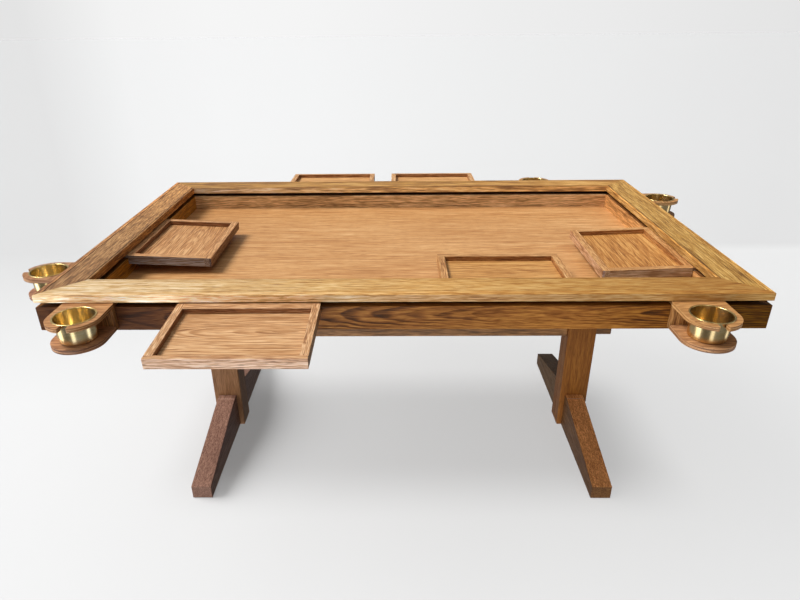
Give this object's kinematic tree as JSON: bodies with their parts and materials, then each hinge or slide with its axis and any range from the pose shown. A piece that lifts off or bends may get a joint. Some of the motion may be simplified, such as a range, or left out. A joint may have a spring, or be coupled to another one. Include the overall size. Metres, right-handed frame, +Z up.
{
  "type": "games table",
  "caption": "Trestle games table: a sunken play floor inside a slotted wooden rim that carries sliding trays and mug holders with lift-out brass cups.",
  "frame": {"origin": "on the floor, under the centre of the table, which is also the centre of the box around it", "axes": "+X along the table's length, to the right seen from the front; +Y towards the back; +Z up"},
  "size_m": [2.0644, 1.5822, 0.7615],
  "materials": {
    "rail_front_wood": "oiled, pale gold",
    "rail_back_wood": "oiled, gold",
    "rail_left_wood": "oiled, mid brown",
    "rail_right_wood": "oiled, gold",
    "spline_wood": "raw",
    "fastener_steel": "zinc plated",
    "apron_wood": "oiled, red brown, figured",
    "wall_wood": "oiled, red brown",
    "core_dark_wood": "stained black",
    "floor_wood": "oiled, warm tan",
    "bearer_wood": "oiled",
    "post_wood": "oiled, golden brown",
    "foot_wood": "oiled, walnut brown",
    "glide_felt": "felt",
    "stretcher_wood": "oiled, brown",
    "holder_wood": "oiled, pinkish brown",
    "cup_brass": "brushed",
    "tray_rim_wood": "oiled, warm brown",
    "tray_panel_wood": "oiled, warm brown, cathedral grain"
  },
  "bodies": {
    "table": {"rail_front": "rail_front_wood", "rail_back": "rail_back_wood", "rail_left": "rail_left_wood", "rail_right": "rail_right_wood", "rail_splines": "spline_wood", "rail_screws": "fastener_steel", "apron_front": "apron_wood", "apron_back": "apron_wood", "apron_left": "apron_wood", "apron_right": "apron_wood", "wall_front": "wall_wood", "wall_back": "wall_wood", "wall_left": "wall_wood", "wall_right": "wall_wood", "core_plates": "core_dark_wood", "core_ridges": "core_dark_wood", "play_floor": "floor_wood", "bearer_left": "bearer_wood", "bearer_right": "bearer_wood", "bearer_screws": "fastener_steel", "post_left": "post_wood", "post_right": "post_wood", "foot_left": "foot_wood", "foot_right": "foot_wood", "leg_bolts": "fastener_steel", "foot_glides": "glide_felt", "stretcher": "stretcher_wood", "stretcher_wedges": "stretcher_wood"},
    "holder_front_left": {"holder_front_left_ring": "holder_wood", "holder_front_left_back": "holder_wood", "holder_front_left_base": "holder_wood"},
    "cup_front_left": {"cup_front_left": "cup_brass"},
    "holder_front_right": {"holder_front_right_ring": "holder_wood", "holder_front_right_back": "holder_wood", "holder_front_right_base": "holder_wood"},
    "cup_front_right": {"cup_front_right": "cup_brass"},
    "holder_left_side": {"holder_left_side_ring": "holder_wood", "holder_left_side_back": "holder_wood", "holder_left_side_base": "holder_wood"},
    "cup_left_side": {"cup_left_side": "cup_brass"},
    "holder_right_side": {"holder_right_side_ring": "holder_wood", "holder_right_side_back": "holder_wood", "holder_right_side_base": "holder_wood"},
    "cup_right_side": {"cup_right_side": "cup_brass"},
    "holder_back": {"holder_back_ring": "holder_wood", "holder_back_back": "holder_wood", "holder_back_base": "holder_wood"},
    "cup_back": {"cup_back": "cup_brass"},
    "tray_front": {"tray_front_rim": "tray_rim_wood", "tray_front_panel": "tray_panel_wood"},
    "tray_back_left": {"tray_back_left_rim": "tray_rim_wood", "tray_back_left_panel": "tray_panel_wood"},
    "tray_back_right": {"tray_back_right_rim": "tray_rim_wood", "tray_back_right_panel": "tray_panel_wood"},
    "tray_inner_left": {"tray_inner_left_rim": "tray_rim_wood", "tray_inner_left_panel": "tray_panel_wood"},
    "tray_inner_right": {"tray_inner_right_rim": "tray_rim_wood", "tray_inner_right_panel": "tray_panel_wood"},
    "tray_inner_front": {"tray_inner_front_rim": "tray_rim_wood", "tray_inner_front_panel": "tray_panel_wood"}
  },
  "joints": [
    {"name": "holder_front_left_slide", "type": "slide", "parent": "table", "child": "holder_front_left", "axis": [1, 0, 0], "range_m": [-0.036, 0.06]},
    {"name": "cup_front_left_lift", "type": "slide", "parent": "holder_front_left", "child": "cup_front_left", "axis": [0, 0, 1], "range_m": [0, 0.08]},
    {"name": "holder_front_right_slide", "type": "slide", "parent": "table", "child": "holder_front_right", "axis": [1, 0, 0], "range_m": [-0.25, 0.1]},
    {"name": "cup_front_right_lift", "type": "slide", "parent": "holder_front_right", "child": "cup_front_right", "axis": [0, 0, 1], "range_m": [0, 0.08]},
    {"name": "holder_left_side_slide", "type": "slide", "parent": "table", "child": "holder_left_side", "axis": [0, 1, 0], "range_m": [-0.11, 0.75]},
    {"name": "cup_left_side_lift", "type": "slide", "parent": "holder_left_side", "child": "cup_left_side", "axis": [0, 0, 1], "range_m": [0, 0.08]},
    {"name": "holder_right_side_slide", "type": "slide", "parent": "table", "child": "holder_right_side", "axis": [0, 1, 0], "range_m": [-0.75, 0.1]},
    {"name": "cup_right_side_lift", "type": "slide", "parent": "holder_right_side", "child": "cup_right_side", "axis": [0, 0, 1], "range_m": [0, 0.08]},
    {"name": "holder_back_slide", "type": "slide", "parent": "table", "child": "holder_back", "axis": [1, 0, 0], "range_m": [-0.08, 0.2]},
    {"name": "cup_back_lift", "type": "slide", "parent": "holder_back", "child": "cup_back", "axis": [0, 0, 1], "range_m": [0, 0.08]},
    {"name": "tray_front_slide", "type": "slide", "parent": "table", "child": "tray_front", "axis": [1, 0, 0], "range_m": [-0.08, 0.5]},
    {"name": "tray_back_left_slide", "type": "slide", "parent": "table", "child": "tray_back_left", "axis": [1, 0, 0], "range_m": [-0.35, 0.03]},
    {"name": "tray_back_right_slide", "type": "slide", "parent": "table", "child": "tray_back_right", "axis": [1, 0, 0], "range_m": [-0.03, 0.08]},
    {"name": "tray_inner_left_slide", "type": "slide", "parent": "table", "child": "tray_inner_left", "axis": [0, 1, 0], "range_m": [-0.15, 0.3]},
    {"name": "tray_inner_right_slide", "type": "slide", "parent": "table", "child": "tray_inner_right", "axis": [0, 1, 0], "range_m": [-0.1, 0.4]},
    {"name": "tray_inner_front_slide", "type": "slide", "parent": "table", "child": "tray_inner_front", "axis": [1, 0, 0], "range_m": [-0.5, 0.06]}
  ]
}
